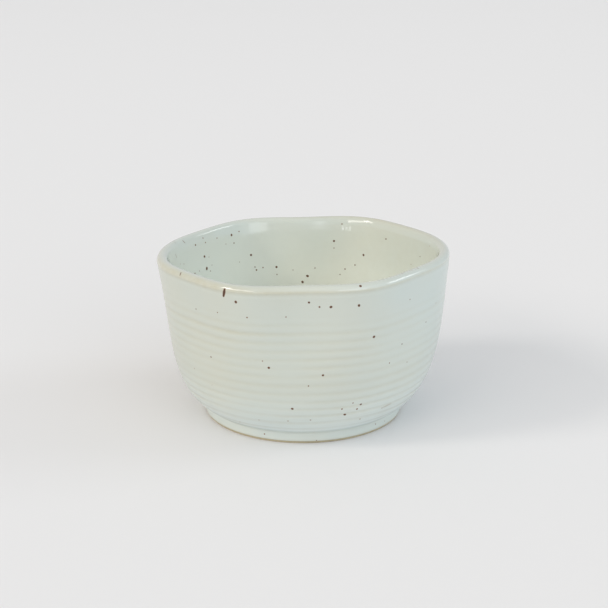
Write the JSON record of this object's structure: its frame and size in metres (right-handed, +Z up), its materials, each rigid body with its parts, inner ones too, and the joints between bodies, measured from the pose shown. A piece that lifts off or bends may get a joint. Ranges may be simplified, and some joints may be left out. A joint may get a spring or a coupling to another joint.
{
  "type": "ramekin",
  "caption": "Hand-thrown stoneware ramekin: a deep round-bellied bowl with a softly cornered rounded lip, a foot ring and a pale speckled glaze, for baking and serving small portions.",
  "frame": {"origin": "centre of the foot ring's standing face, on the surface the bowl stands on", "axes": "+Z up along the bowl's axis, +X to the right and +Y away from the viewer in the picture"},
  "size_m": [0.0996, 0.0931, 0.0585],
  "materials": {
    "stoneware": "matte",
    "outside_glaze": "satin",
    "inside_glaze": "gloss",
    "iron_speck": "satin"
  },
  "bodies": {
    "root": {"bowl_body": "stoneware", "foot_ring": "stoneware", "outside_glaze": "outside_glaze", "inside_glaze": "inside_glaze", "iron_specks": "iron_speck"}
  },
  "joints": []
}
